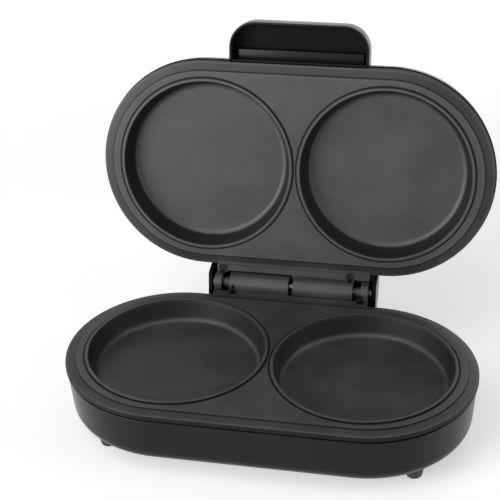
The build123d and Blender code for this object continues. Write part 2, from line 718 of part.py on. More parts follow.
# Terminal block on the heel's floor, with a wire way and a screw for each pole
block_rear = hinge_y - block_setback
block_front = block_rear - block_depth
block_top = base_inside + block_height
pole_x = [block_x + (i - (block_poles - 1) / 2) * block_pitch for i in range(block_poles)]
block_y = (block_front + block_rear) / 2
way_z = base_inside + block_height / 2
with BuildPart() as terminal_block:
    block((block_x - block_length / 2, block_x + block_length / 2), (block_front, block_rear),
          (base_inside, block_top))
    fillet(terminal_block.edges().filter_by(Axis.Z), 1.5)
    along_y(wire_radius + wire_gap, block_front, block_rear, [(x, way_z) for x in pole_x], Mode.SUBTRACT)
    terminal_spots = [(x, block_y) for x in pole_x]
    upright(block_screw_radius + screw_clearance, way_z, block_top + 1, terminal_spots, Mode.SUBTRACT)
with BuildPart() as terminal_screws:
    upright(block_screw_radius, way_z + wire_radius + wire_gap, block_top - 0.6, terminal_spots)
    with BuildSketch(Plane.XY.offset(block_top - 0.6)):
        with Locations(*terminal_spots):
            Rectangle(2.4, 0.6)
    extrude(amount=-0.6, mode=Mode.SUBTRACT)

# Cord inlet: a flanged bush in the heel's rear wall
with BuildPart() as cord_inlet_bush:
    inlet_spot = [(inlet_x, inlet_height)]
    inlet_face = heel_rear + inlet_flange_thickness
    along_y(inlet_flange_radius, heel_rear, inlet_face, inlet_spot)
    fillet(cord_inlet_bush.edges().group_by(Axis.Y)[-1], 0.8)
    along_y(inlet_body_radius, heel_rear - inlet_length, heel_rear, inlet_spot)
    along_y(inlet_bore_radius, heel_rear - inlet_length - 1, inlet_face + 1, inlet_spot, Mode.SUBTRACT)

# Wiring of the base: leads from the block to the thermostat, fuse, element, earth and sleeve
under_shield = shield_top - lead_depth
over_shield = plate_under - plate_run
pin_level = plate_under - pin_run
pin_z = element_z - element_pin_radius - wire_gap
pin_y = element_end_y - element_pin_length / 2
lead_x = fuse_length / 2 + fuse_lead - 1
lead_z = fuse_z - fuse_lead_radius - wire_gap
tab_y = thermostat_y + tab_root + thermostat_tab_length + wire_gap
tab_z = body_end + 1 + tab_width / 2
in_block = block_rear - wire_in_block
before_block = block_front - lead_in_run
down_y = shield_hole_front_y + tight_bend
up_y = shield_hole_rear_y - tight_bend
pin_hole_y = shield_hole_rear_y + tight_bend
sleeve_up_y = shield_hole_rear_y - sleeve_lead_setback
pole_starts = [[(x, in_block, way_z), (x, before_block, way_z)] for x in pole_x]
with BuildPart() as base_wiring:
    wire(pole_starts[0] + [(-tab_offset, fuse_y - thermostat_lead_turn, under_shield),
                           (-tab_offset, down_y, under_shield), (-tab_offset, down_y, tab_z),
                           (-tab_offset, tab_y, tab_z)],
         [wide_bend, wide_bend, middle_bend, tight_bend])
    wire([(tab_offset, tab_y, tab_z), (tab_offset, down_y, tab_z),
          (tab_offset, down_y, under_shield + crossing_gap),
          (hole_offset, up_y, under_shield + crossing_gap), (hole_offset, up_y, over_shield),
          (lead_x, fuse_y, over_shield), (lead_x, fuse_y, lead_z)],
         [tight_bend, middle_bend, middle_bend, tight_bend, tight_bend])
    wire([(-lead_x, fuse_y, lead_z), (-lead_x, fuse_y, pin_level), (-element_end_x, pin_y, pin_level),
          (-element_end_x, pin_y, pin_z)], [tight_bend, tight_bend])
    wire(pole_starts[3] + [(hole_offset, pin_hole_y, under_shield), (hole_offset, pin_hole_y, over_shield),
                           (element_end_x, pin_y, pin_level), (element_end_x, pin_y, pin_z)],
         [middle_bend, middle_bend, tight_bend, tight_bend])
    wire(pole_starts[1] + [(-earth_offset, sleeve_start_y, under_shield),
                           (-earth_offset, sleeve_start_y, plate_under - wire_gap)], [middle_bend, middle_bend])
    wire(pole_starts[2] + [(0, sleeve_up_y, under_shield), (0, sleeve_up_y, -sleeve_drop),
                           (0, sleeve_start_y, -sleeve_drop)], [middle_bend, middle_bend, tight_bend])

# Woven sleeve that carries the lid's leads under and behind the hinge
with BuildPart() as hinge_wire_sleeve:
    with BuildLine(Plane.YZ):
        Line((sleeve_start_y, -sleeve_drop), (hinge_y, -sleeve_drop))
        CenterArc((hinge_y, 0), sleeve_drop, -90, 90 + sleeve_end_angle)
    with BuildSketch(Plane(origin=(0, sleeve_start_y, -sleeve_drop), z_dir=(0, 1, 0))):
        Circle(sleeve_radius)
    sweep()

# Lid housing, drawn shut: moulded shell with vents beside the handle and a hump over the hinge
lid_rim_radius = plate_half_depth + lid_rim_overhang
lid_end_radius = plate_half_depth - lid_top_inset
lid_outside = hull(lid_rim_radius, lid_end_radius, lid_rim, lid_top, lid_edge_round)
lid_inner = hull(lid_rim_radius - housing_wall, lid_end_radius - housing_wall, lid_rim, lid_inside,
                 lid_edge_round - housing_wall)
hump_start = wall_y - 2
hump_front = lid_rim_radius + 0.2
hump_slope = (hump_roof - hump_radius) / (hinge_y - hump_start)
hump_inner = hump_radius - hump_wall
vent_x = [vent_start + i * vent_pitch for i in range(right_vents)]
vent_x += [-vent_start - (i + 1) * vent_pitch for i in range(left_vents)]
lamp_spots = [(-lamp_x, lamp_y), (lamp_x, lamp_y)]
handle_screw_spots = [(-handle_screw_x, handle_screw_height), (handle_screw_x, handle_screw_height)]
with BuildPart() as hump:
    with BuildSketch(Plane.YZ.offset(-hump_half_width)):
        with BuildLine():
            Line((hump_start, hump_roof), (hinge_y, hump_radius))
            CenterArc((hinge_y, 0), hump_radius, 0, 90)
            Polyline((hinge_y + hump_radius, 0), (hinge_y + hump_radius, -hump_skirt),
                     (hinge_y - cheek_front, -hump_skirt), (hinge_y - cheek_front - cheek_slant, lid_rim),
                     (hump_start, lid_rim), (hump_start, hump_roof))
        make_face()
    extrude(amount=2 * hump_half_width)
    for side in (0, -1):
        end_edges = hump.faces().sort_by(Axis.X)[side].edges()
        outer_edges = end_edges.sort_by(lambda edge: edge.center().Y + edge.center().Z)[-3:]
        fillet(outer_edges, hump_edge_round)
with BuildPart() as lid_housing:
    add(lid_outside)
    fillet(lid_housing.edges().group_by(Axis.Z)[0], rim_round)
    add(hump.part)
    add(lid_inner, mode=Mode.SUBTRACT)
    with BuildSketch(Plane.XY.offset(lid_rim)):
        stadium(lid_rim_radius - 1)
        stadium(lip_inner, Mode.SUBTRACT)
    extrude(amount=-hook_catch - lid_rim)
    with BuildSketch(Plane.XY.offset(-seat_top)):
        stadium(lip_outer)
        stadium(lip_inner, Mode.SUBTRACT)
    extrude(amount=lid_rim + seat_top + 1)
    with BuildSketch(Plane.YZ.offset(-hump_half_width + cheek_thickness)):
        with BuildLine():
            Line((hump_front, hump_inner + hump_slope * (hinge_y - hump_front)), (hinge_y, hump_inner))
            CenterArc((hinge_y, 0), hump_inner, 0, 90)
            Polyline((hinge_y + hump_inner, 0), (hinge_y + hump_inner, -hump_skirt - 1),
                     (hump_front, -hump_skirt - 1),
                     (hump_front, hump_inner + hump_slope * (hinge_y - hump_front)))
        make_face()
    extrude(amount=2 * (hump_half_width - cheek_thickness), mode=Mode.SUBTRACT)
    upright(flange_ring_radius - 1, -seat_top, hump_inner + 3, upper_flange_spots)
    upright(thread_hole, -seat_top - 1, -seat_top + flange_screw_reach, upper_flange_spots, Mode.SUBTRACT)
    along_y(lid_hole_radius, lip_inner - 2, hump_front + 1, [(0, lid_hole_height)], Mode.SUBTRACT)
    for x in vent_x:
        block((x - vent_width / 2, x + vent_width / 2), (-lid_rim_radius - 2, -lip_outer - 0.1),
              (lid_rim - 1, lid_rim + vent_height), Mode.SUBTRACT)
    upright(lens_radius + lens_clearance, lid_inside - 1, lid_top + 1, lamp_spots, Mode.SUBTRACT)
    board_top = lamp_board_height + lamp_board_thickness
    upright(ear_boss_radius, board_top, lid_inside + 1, [(0, lamp_y)])
    upright(thread_hole, board_top, lid_inside, [(0, lamp_y)], Mode.SUBTRACT)
    along_y(through_hole, -lid_rim_radius, -lip_inner + 3, handle_screw_spots, Mode.SUBTRACT)

# Handle: a hollow grip open underneath, rooted on the front wall of the lid
lid_clearance_hull = hull(lid_rim_radius + handle_fit_gap, lid_end_radius + handle_fit_gap,
                          lid_rim, lid_top + handle_fit_gap, lid_edge_round)
handle_front = -(plate_half_depth + handle_reach)
handle_back = -plate_half_depth + 8
with BuildPart() as lid_handle:
    with BuildSketch(Plane.XY.offset(handle_rim_height)) as handle_outline:
        with Locations((0, (handle_front + handle_back) / 2)):
            Rectangle(2 * handle_half_width, handle_back - handle_front)
        fillet(handle_outline.vertices().group_by(Axis.Y)[0], handle_corner_radius)
    extrude(amount=handle_top_height - handle_rim_height)
    top_edges = lid_handle.faces().sort_by(Axis.Z)[-1].edges().sort_by(Axis.Y)[:-1]
    fillet(top_edges, handle_edge_round)
    ceiling = handle_top_height - handle_wall
    inner_front = handle_front + handle_wall
    with BuildSketch(Plane.XY.offset(handle_rim_height)) as handle_hollow:
        with Locations((0, (inner_front + handle_back) / 2)):
            Rectangle(2 * (handle_half_width - handle_wall), handle_back - inner_front)
        fillet(handle_hollow.vertices().group_by(Axis.Y)[0], handle_corner_radius - handle_wall)
    extrude(amount=ceiling - handle_rim_height, mode=Mode.SUBTRACT)
    root_front = -plate_half_depth - handle_root_depth
    inner_half = handle_half_width - handle_wall
    block((-inner_half - 0.5, inner_half + 0.5), (root_front, handle_back),
          (ceiling - handle_root_height, ceiling + 0.5))
    mark_spots = [(i * mark_spacing, handle_front + mark_setback) for i in (-1, 0, 1)]
    upright(mark_radius, ceiling, ceiling + mark_depth, mark_spots, Mode.SUBTRACT)
    add(lid_clearance_hull, mode=Mode.SUBTRACT)
    with BuildSketch(Plane.XY.offset(handle_rim_height - 1)):
        stadium(lid_rim_radius + handle_fit_gap)
    extrude(amount=lid_rim - handle_rim_height + 1.5, mode=Mode.SUBTRACT)
    along_y(thread_hole, root_front + 0.8, handle_back, handle_screw_spots, Mode.SUBTRACT)
with BuildPart() as handle_screws:
    wall_slope = (lid_rim_radius - lid_end_radius) / (lid_inside - lid_rim)
    wall_inside = lid_rim_radius - housing_wall - wall_slope * (handle_screw_height - lid_rim)
    head_seat = -wall_inside + wall_slope * screw_head_radius + 0.1
    along_y(screw_radius, head_seat - housing_wall - handle_screw_reach, head_seat, handle_screw_spots)
    along_y(screw_head_radius, head_seat, head_seat + screw_head_height, handle_screw_spots)

# Indicator lamps: two lenses in the top of the lid, two lamps on a small board, one screw
lenses = {}
for name, spot in zip(("power_lamp_lens", "ready_lamp_lens"), lamp_spots):
    with BuildPart() as lens:
        upright(lens_flange_radius, lid_top, lid_top + lens_flange_height, [spot])
        fillet(lens.edges().group_by(Axis.Z)[-1], lens_flange_height * 0.7)
        upright(lens_radius, lid_top, lid_top - lens_depth, [spot])
        upright(lens_radius - 1.2, lid_top - lens_depth, lid_top - 0.8, [spot], Mode.SUBTRACT)
    lenses[name] = lens
with BuildPart() as lamp_board:
    block((-lamp_board_half_length, lamp_board_half_length),
          (lamp_y - lamp_board_half_width, lamp_y + lamp_board_half_width), (lamp_board_height, board_top))
    upright(through_hole, lamp_board_height, board_top, [(0, lamp_y)], Mode.SUBTRACT)
lamp_screw = screws([(0, lamp_y)], lamp_board_height, 5, 2.4, screw_head_height, -1)
with BuildPart() as indicator_lamps:
    upright(lamp_radius, board_top, lid_top - 1.5, lamp_spots)
    fillet(indicator_lamps.edges().group_by(Axis.Z)[-1], lamp_radius * 0.8)

# Wiring of the lid: two leads to the element's pins and one to the lamp board
with BuildPart() as lid_wiring:
    low_z = lid_hole_height - lid_wire_drop
    high_z = low_z + lid_wire_rise
    hole_end = hump_front + 1
    board_mid = lamp_board_height + lamp_board_thickness / 2
    for side in (-1, 1):
        wire([(side * lid_wire_offset, hole_end, low_z), (side * lid_wire_offset, sleeve_start_y, low_z),
              (side * element_end_x, pin_y, low_z), (side * element_end_x, pin_y, -pin_z)],
             [middle_bend, pin_bend])
    wire([(0, hole_end, high_z), (0, shield_hole_rear_y, high_z), (0, shield_hole_rear_y, board_mid),
          (lamp_wire_x, shield_hole_rear_y - lamp_wire_turn, board_mid),
          (lamp_wire_x, lamp_y + lamp_board_half_width + wire_gap, board_mid)],
         [middle_bend, middle_bend, wide_bend])

base_pieces = {
    "base_housing": base_housing,
    "lower_plate": lower_plate,
    "lower_heating_element": lower_element,
    "lower_element_clamps": lower_element_clamps,
    "lower_clamp_screws": lower_clamp_screws,
    "lower_heat_shield": lower_heat_shield,
    "lower_shield_screws": lower_shield_screws,
    "lower_flange_screws": lower_flange_screws,
    "thermostat": thermostat,
    "thermostat_screws": thermostat_screws,
    "thermal_fuse": thermal_fuse,
    "thermal_fuse_clip": thermal_fuse_clip,
    "thermal_fuse_screw": thermal_fuse_screw,
    "foot_screws": foot_screws,
    "hinge_pin": hinge_pin,
    "hinge_pin_clips": pin_clips,
    "terminal_block": terminal_block,
    "terminal_screws": terminal_screws,
    "cord_inlet_bush": cord_inlet_bush,
    "base_wiring": base_wiring,
    "hinge_wire_sleeve": hinge_wire_sleeve,
    **feet,
}
lid_pieces = {
    "lid_housing": lid_housing,
    "lid_handle": lid_handle,
    "handle_screws": handle_screws,
    "lamp_board": lamp_board,
    "lamp_board_screw": lamp_screw,
    "indicator_lamps": indicator_lamps,
    "lid_wiring": lid_wiring,
    **lenses,
}
# The same casting and fittings serve the lid, turned over
turned_pieces = {
    "upper_plate": lower_plate,
    "upper_heating_element": lower_element,
    "upper_element_clamps": lower_element_clamps,
    "upper_clamp_screws": lower_clamp_screws,
    "upper_heat_shield": lower_heat_shield,
    "upper_shield_screws": lower_shield_screws,
    "upper_flange_screws": lower_flange_screws,
}
os.makedirs("parts", exist_ok=True)
for pieces, place in ((base_pieces, base_place), (lid_pieces, lid_place), (turned_pieces, upper_place)):
    for label, piece in pieces.items():
        piece.part.locate(place)
        piece.part.label = label
        export_step(piece.part, f"parts/{label}.step")
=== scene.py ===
# Electric omelette maker, dressed for the picture: shapes in millimetres, turned to metres when placed
import json

import bmesh
import bpy
import numpy as np
from mathutils import Matrix


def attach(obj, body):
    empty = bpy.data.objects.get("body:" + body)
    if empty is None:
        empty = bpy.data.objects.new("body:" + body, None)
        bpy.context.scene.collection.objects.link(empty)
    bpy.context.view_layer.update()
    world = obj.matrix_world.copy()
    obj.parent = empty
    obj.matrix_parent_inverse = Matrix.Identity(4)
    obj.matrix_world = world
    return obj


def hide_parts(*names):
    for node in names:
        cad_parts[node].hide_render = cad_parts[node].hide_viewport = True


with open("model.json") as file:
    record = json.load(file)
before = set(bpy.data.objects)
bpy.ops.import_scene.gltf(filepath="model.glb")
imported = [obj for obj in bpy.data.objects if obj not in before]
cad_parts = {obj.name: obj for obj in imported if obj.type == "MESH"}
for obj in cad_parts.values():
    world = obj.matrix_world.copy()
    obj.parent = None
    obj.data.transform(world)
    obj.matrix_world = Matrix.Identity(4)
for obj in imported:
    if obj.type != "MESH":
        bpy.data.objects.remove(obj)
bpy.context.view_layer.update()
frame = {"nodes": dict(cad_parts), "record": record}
nodes = frame["nodes"]
print("frame loaded with", len(nodes), "nodes")

perMetre = 1000
# where the plates' own frame lies in the row's frame
place = {"platesCentreY": -43.7, "hingeHeight": 61.5, "hingeY": 103.0, "openAngle": 102.0}


def standing(points):
    # base pieces: shifted only
    return (points + [0, place["platesCentreY"], place["hingeHeight"]]) / perMetre


def swung(points):
    # lid pieces are drawn shut, then turned about the hinge line by the opening angle
    turn = np.radians(-place["openAngle"])
    y, z = points[..., 1] - place["hingeY"], points[..., 2]
    opened = np.stack([points[..., 0],
                       place["hingeY"] + np.cos(turn) * y - np.sin(turn) * z,
                       np.sin(turn) * y + np.cos(turn) * z], axis=-1)
    return standing(opened)


def tinted(colour, factor, lift=0.0):
    # each channel times the factor plus the lift, at most 1
    return tuple(min(1, c * factor + lift) for c in colour)


class Shade:
    # a shader socket that can be added to, multiplied by and so on, with sockets or plain numbers
    def __init__(self, tree, socket):
        self.tree, self.socket = tree, socket

    def maths(self, operation, first, second):
        node = self.tree.nodes.new("ShaderNodeMath")
        node.operation = operation
        for value, socket in zip((first, second), node.inputs):
            connect(self.tree, value, socket)
        return Shade(self.tree, node.outputs[0])

    def __add__(self, other):
        return self.maths("ADD", self, other)

    def __radd__(self, other):
        return self.maths("ADD", other, self)

    def __sub__(self, other):
        return self.maths("SUBTRACT", self, other)

    def __rsub__(self, other):
        return self.maths("SUBTRACT", other, self)

    def __mul__(self, other):
        return self.maths("MULTIPLY", self, other)

    def __rmul__(self, other):
        return self.maths("MULTIPLY", other, self)

    def unsigned(self):
        return self.maths("ABSOLUTE", self, 0)

    def atLeast(self, least):
        return self.maths("MAXIMUM", self, least)

    def above(self, limit):
        return self.maths("GREATER_THAN", self, limit)

    def beside(self, other):
        # the root of the sum of both squares
        return self.maths("SQRT", self * self + other * other, 0)

    def sway(self, amount):
        # noise between 0 and 1 turned into a change of up to half the amount either way
        return (self - 0.5) * amount


def connect(tree, value, socket):
    if isinstance(value, Shade):
        tree.links.new(value.socket, socket)
    else:
        socket.default_value = value


class Recipe:
    # one material's node tree, with a single method that makes any plain node
    def __init__(self, name):
        self.material = bpy.data.materials.new(name)
        self.material.use_nodes = True
        self.tree = self.material.node_tree
        self.tree.nodes.clear()

    def node(self, kind, settings=None, out=0, **inputs):
        made = self.tree.nodes.new("ShaderNode" + kind)
        for key, value in (settings or {}).items():
            if key == "stops":
                ramp = made.color_ramp
                while len(ramp.elements) < len(value):
                    ramp.elements.new(1)
                for stop, (position, level) in zip(ramp.elements, value):
                    stop.position, stop.color = position, (level, level, level, 1)
            else:
                setattr(made, key, value)
        for key, value in inputs.items():
            connect(self.tree, value, made.inputs[key.replace("_", " ")])
        return Shade(self.tree, made.outputs[out])

    def where(self):
        return self.node("TexCoord", out=3)

    def speckle(self, size, detail, rough):
        # noise whose blotches are about size millimetres across
        return self.node("TexNoise", Vector=self.where(), Scale=perMetre / size, Detail=detail, Roughness=rough)

    def ramp(self, value, *stops):
        return self.node("ValToRGB", {"stops": stops}, Fac=value)

    def fade(self, value, start, end):
        # 0 up to the start, then straight up to 1 at the end
        return self.ramp(value, (start, 0), (end, 1))

    def blend(self, mask, first, second):
        mixed = self.tree.nodes.new("ShaderNodeMix")
        mixed.data_type = "RGBA"
        connect(self.tree, mask, mixed.inputs[0])
        for value, socket in ((first, mixed.inputs[6]), (second, mixed.inputs[7])):
            connect(self.tree, (*value, 1), socket)
        return Shade(self.tree, mixed.outputs[2])

    def bump(self, height, strength, distance):
        return self.node("Bump", Height=height, Strength=strength, Distance=distance / perMetre)

    def shutPlace(self, lid):
        # x and y in millimetres on the shut plates, worked back from the row's frame
        turn = np.radians(place["openAngle"]) if lid else 0.0
        hinge = np.array([0, place["hingeY"], 0])
        shift = np.array([0, place["platesCentreY"], place["hingeHeight"]])
        back = np.array([[1, 0, 0], [0, np.cos(turn), -np.sin(turn)], [0, np.sin(turn), np.cos(turn)]])
        offset = back @ (-shift - hinge) + hinge
        spot = self.node("Mapping", Vector=self.where(), Location=tuple(offset), Rotation=(turn, 0, 0),
                         Scale=(perMetre, perMetre, perMetre))
        return self.node("SeparateXYZ", Vector=spot), self.node("SeparateXYZ", out=1, Vector=spot)

    def profilePaintedShade(self, distance, line):
        # painted shade and painted highlight along one of the coating's two profiles, with the stops written in
        # millimetres
        start, span = coating[line + "Start"], coating[line + "Span"]
        stops = [((at - start) / span, tone) for at, tone in coating[line + "PaintedShade"]]
        return self.ramp((distance - start) * (1 / span), *stops)

    def between(self, mask, first, second):
        mixed = self.tree.nodes.new("ShaderNodeMixShader")
        for value, socket in zip((mask, first, second), mixed.inputs):
            connect(self.tree, value, socket)
        return Shade(self.tree, mixed.outputs[0])

    def coat(self, colour, roughness, normal=None, **others):
        surface = self.tree.nodes.new("ShaderNodeBsdfPrincipled")
        connect(self.tree, colour, surface.inputs["Base Color"])
        connect(self.tree, roughness, surface.inputs["Roughness"])
        if normal:
            connect(self.tree, normal, surface.inputs["Normal"])
        for key, value in others.items():
            connect(self.tree, value, surface.inputs[key.replace("_", " ")])
        return Shade(self.tree, surface.outputs[0])

    def out(self, shader):
        output = self.tree.nodes.new("ShaderNodeOutputMaterial")
        self.tree.links.new(shader.socket, output.inputs[0])
        return self.material

    def finish(self, colour, roughness, normal=None, **others):
        return self.out(self.coat(colour, roughness, normal, **others))


# lengths in millimetres; the two profiles of painted shade and painted highlight list (distance, level)
coating = {
    "colour": (0.028, 0.029, 0.033), "pale": (0.105, 0.109, 0.118), "paintedShade": (0.004, 0.004, 0.0045),
    "grain": 0.55, "grainFade": (0.42, 0.72), "grainShare": 0.5, "grainRoughness": 0.10,
    "patches": 38, "patchFade": (0.38, 0.66), "patchShare": 0.3, "patchRoughness": 0.16,
    "roughness": 0.45, "specular": 0.5, "grainStrength": 0.6, "grainLift": 0.08,
    # the dark coat with little gloss that stands for painted shade
    "paintedShadeRoughness": 0.5, "paintedShadeGrain": 0.1, "paintedShadeSpecular": 0.16,
    "bowlX": 75.5, "arcCentre": 77.0, "halfDepth": 88.0,
    # painted shade on the skirt and in the screws' recesses
    "skirtInside": 0.35, "skirtOutside": 0.06, "skirtShade": 0.95,
    "screwSpots": ((-49.5, 91.0), (60.5, 91.0)), "screwRecess": 3.5, "recessPaintedShade": 0.06,
    # where the profiles of painted shade and painted highlight start and reach, and their levels
    "ringStart": 56.0, "ringSpan": 24.0,
    "ringPaintedShade": ((56, 0.85), (64.6, 0.95), (65.6, 1.0), (66.6, 0.32), (70.4, 0.16), (71.1, 0.5),
                 (71.6, 1.0), (73.2, 1.0), (73.7, 0.08), (75.0, 0.08), (75.4, 0.85)),
    "edgeStart": 76.0, "edgeSpan": 13.0,
    "edgePaintedShade": ((76, 0.9), (79.3, 1.0), (79.9, 0.15), (80.5, 0.15), (81.0, 0.5), (85.8, 0.55),
                 (86.6, 0.9)),
}


def nonstickCoating(name, lid):
    # sprayed coating: fine grain and slow patches of wear. Over these lies painted shade in the grooves, on the
    # bowl walls, at the step line and on the outer band, and painted highlight at the bowls' floor fillets, the
    # bead crests and the lip.
    # The level is the product of two profiles, one along the distance from the nearer bowl's axis and one along
    # the distance from the plate's middle line, with more painted shade on the skirt and in the screws'
    # recesses.
    m = Recipe(name)
    c = coating
    grain = m.speckle(c["grain"], 3, 0.65)
    patches = m.speckle(c["patches"], 3, 0.55)
    x, y = m.shutPlace(lid)
    ring = (x.unsigned() - c["bowlX"]).beside(y)
    edge = (x.unsigned() - c["arcCentre"]).atLeast(0).beside(y)
    # the level of painted shade and painted highlight
    tone = m.profilePaintedShade(ring, "ring") * m.profilePaintedShade(edge, "edge")
    # painted shade on the skirt under the lip
    skirt = edge.above(c["halfDepth"] - c["skirtInside"]) - edge.above(c["halfDepth"] + c["skirtOutside"])
    tone = tone * (1 - c["skirtShade"] * skirt)
    # painted shade in the screws' recesses
    for spotX, spotY in c["screwSpots"]:
        away = (x - (-spotX if lid else spotX)).beside(y - spotY)
        tone = tone * (c["recessPaintedShade"] + (1 - c["recessPaintedShade"]) * away.above(c["screwRecess"]))
    mask = m.fade(patches, *c["patchFade"]) * c["patchShare"] + m.fade(grain, *c["grainFade"]) * c["grainShare"]
    colour = m.blend(mask, c["colour"], c["pale"])
    roughness = c["roughness"] + patches.sway(c["patchRoughness"]) + grain.sway(c["grainRoughness"])
    bump = m.bump(grain, c["grainStrength"], c["grainLift"])
    # a dark coat with little gloss is painted shade where the level is low; the plain coat shows elsewhere
    paintedShadeCoat = m.coat((*c["paintedShade"], 1), c["paintedShadeRoughness"] + grain.sway(c["paintedShadeGrain"]), bump,
                       Specular_IOR_Level=c["paintedShadeSpecular"])
    plainCoat = m.coat(colour, roughness, bump, Specular_IOR_Level=c["specular"])
    return m.out(m.between(tone, paintedShadeCoat, plainCoat))


shell = {"colour": (0.0055, 0.0055, 0.0053), "roughness": 0.26, "specular": 0.19,
         "texture": 0.9, "textureStrength": 0.35, "textureLift": 0.012,
         "smears": 24, "smearTint": 1.5, "smearRoughness": 0.12}


def blackShell(name="blackShell", roughness=shell["roughness"], specular=shell["specular"]):
    # moulded plastic: slow smears in tone and gloss, and a faint texture under them
    m = Recipe(name)
    texture = m.speckle(shell["texture"], 2, 0.5)
    smears = m.speckle(shell["smears"], 4, 0.6)
    colour = m.blend(smears, shell["colour"], tinted(shell["colour"], shell["smearTint"]))
    bump = m.bump(texture, shell["textureStrength"], shell["textureLift"])
    return m.finish(colour, roughness + smears.sway(shell["smearRoughness"]), bump, Specular_IOR_Level=specular)


metalLook = {"stains": 11, "stainFade": (0.45, 0.8), "stainTint": 0.5, "stainRoughness": 0.2,
             "toothStrength": 0.4, "toothLift": 0.02}


def metal(name, colour, roughness, tooth):
    # plain metal with fine tooth, of the given size, and slightly darker stains
    m = Recipe(name)
    fine = m.speckle(tooth, 3, 0.6)
    stains = m.speckle(metalLook["stains"], 4, 0.6)
    mixed = m.blend(m.fade(stains, *metalLook["stainFade"]), colour, tinted(colour, metalLook["stainTint"]))
    bump = m.bump(fine, metalLook["toothStrength"], metalLook["toothLift"])
    return m.finish(mixed, roughness + stains.sway(metalLook["stainRoughness"]), bump, Metallic=1.0)


mouldedLook = {"clouds": 9, "cloudTint": 1.25, "cloudRoughness": 0.1, "toothStrength": 0.5}


def moulded(name, colour, roughness, tooth=1.2, lift=0.03):
    # plastic, rubber or sleeving with a fine texture of the given size and height
    m = Recipe(name)
    fine = m.speckle(tooth, 2, 0.5)
    clouds = m.speckle(mouldedLook["clouds"], 3, 0.5)
    mixed = m.blend(clouds, colour, tinted(colour, mouldedLook["cloudTint"]))
    bump = m.bump(fine, mouldedLook["toothStrength"], lift)
    return m.finish(mixed, roughness + clouds.sway(mouldedLook["cloudRoughness"]), bump)


lensLook = {"ripples": 2.5, "tint": 1.5, "tintLift": 0.01, "roughness": 0.12, "rippleRoughness": 0.05,
            "rippleStrength": 0.3, "rippleLift": 0.05, "coat": 0.6, "coatRoughness": 0.05}


def lens(name, colour):
    # glossy coloured plastic with slow ripples
    m = Recipe(name)
    ripples = m.speckle(lensLook["ripples"], 1, 0.4)
    mixed = m.blend(ripples, colour, tinted(colour, lensLook["tint"], lensLook["tintLift"]))
    bump = m.bump(ripples, lensLook["rippleStrength"], lensLook["rippleLift"])
    return m.finish(mixed, lensLook["roughness"] + ripples.sway(lensLook["rippleRoughness"]), bump,
                    Coat_Weight=lensLook["coat"], Coat_Roughness=lensLook["coatRoughness"])


finishes = {
    "black_housing": blackShell(),
    "nonstick_coating": nonstickCoating("lowerCoating", False),
    "sheet_steel": metal("sheetSteel", (0.52, 0.52, 0.5), 0.36, 2.2),
    "zinc_screws": metal("zincScrews", (0.5, 0.5, 0.48), 0.3, 0.3),
    "blackened_screws": metal("blackenedScrews", (0.045, 0.045, 0.048), 0.34, 0.3),
    "element_tube": metal("elementTube", (0.2, 0.18, 0.16), 0.42, 0.8),
    "hinge_steel": metal("hingeSteel", (0.16, 0.16, 0.155), 0.4, 0.4),
    "spring_steel": metal("springSteel", (0.06, 0.06, 0.065), 0.38, 0.4),
    "black_feet": moulded("blackFeet", (0.012, 0.012, 0.013), 0.5),
    "cream_moulding": moulded("creamMoulding", (0.62, 0.57, 0.46), 0.5),
    "white_sleeving": moulded("whiteSleeving", (0.68, 0.68, 0.65), 0.75, 0.5, 0.08),
    "lead_insulation": moulded("leadInsulation", (0.55, 0.54, 0.52), 0.42, 0.6),
    "black_rubber": moulded("blackRubber", (0.016, 0.016, 0.016), 0.62),
    "red_lens": lens("redLens", (0.42, 0.01, 0.008)),
    "green_lens": lens("greenLens", (0.015, 0.3, 0.05)),
    "clear_lamp": lens("clearLamp", (0.62, 0.56, 0.45)),
    "board": moulded("lampBoard", (0.32, 0.2, 0.07), 0.45),
}
slotOf = {entry["node"]: entry["material_slot"] for entry in frame["record"]["subparts"]}
for name, obj in nodes.items():
    obj.data.materials.clear()
    obj.data.materials.append(finishes[slotOf[name]])
nodes["upper_plate"].data.materials[0] = nonstickCoating("upperCoating", True)
print("finishes on all carried-over nodes")


def gridFaces(rows, columns):
    # one quad for each cell of a grid of points, counted row by row
    r, c = (a.ravel() for a in np.meshgrid(np.arange(rows - 1), np.arange(columns - 1), indexing="ij"))
    first = r * columns + c
    return np.stack([first, first + columns, first + columns + 1, first + 1], axis=-1)


def surface(points, flip=False, finish=0):
    # a grid of points as (vertices, quads, finish number)
    faces = gridFaces(*points.shape[:2])
    return points.reshape(-1, 3), faces[:, ::-1] if flip else faces, finish


# lengths in metres, the angle in degrees
joining = {"weld": 2e-6, "sliver": 1e-7, "sharp": 32}


def makePiece(name, body, surfaces, materials, put, replaced):
    # the surfaces joined along their shared edges into one piece
    counts = np.cumsum([0] + [len(part[0]) for part in surfaces])
    vertices = put(np.concatenate([part[0] for part in surfaces]))
    faces = np.concatenate([part[1] + first for part, first in zip(surfaces, counts)])
    finishNumbers = np.concatenate([np.full(len(part[1]), part[2]) for part in surfaces])
    mesh = bpy.data.meshes.new(name)
    mesh.from_pydata(vertices.tolist(), [], faces.tolist())
    mesh.polygons.foreach_set("material_index", finishNumbers)
    welded = bmesh.new()
    welded.from_mesh(mesh)
    bmesh.ops.remove_doubles(welded, verts=welded.verts, dist=joining["weld"])
    bmesh.ops.dissolve_degenerate(welded, edges=welded.edges, dist=joining["sliver"])
    welded.to_mesh(mesh)
    welded.free()
    mesh.shade_smooth()
    mesh.set_sharp_from_angle(angle=np.radians(joining["sharp"]))
    for material in materials:
        mesh.materials.append(material)
    piece = bpy.data.objects.new(name, mesh)
    bpy.context.scene.collection.objects.link(piece)
    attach(piece, body)
    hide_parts(*replaced)


def quarter(centre, radius, start, end, steps=6):
    # points on an arc of a (distance, height) profile, angles in degrees from the distance axis
    t = np.radians(np.linspace(start, end, steps + 1))
    return np.stack([centre[0] + radius * np.cos(t), centre[1] + radius * np.sin(t)], axis=-1)


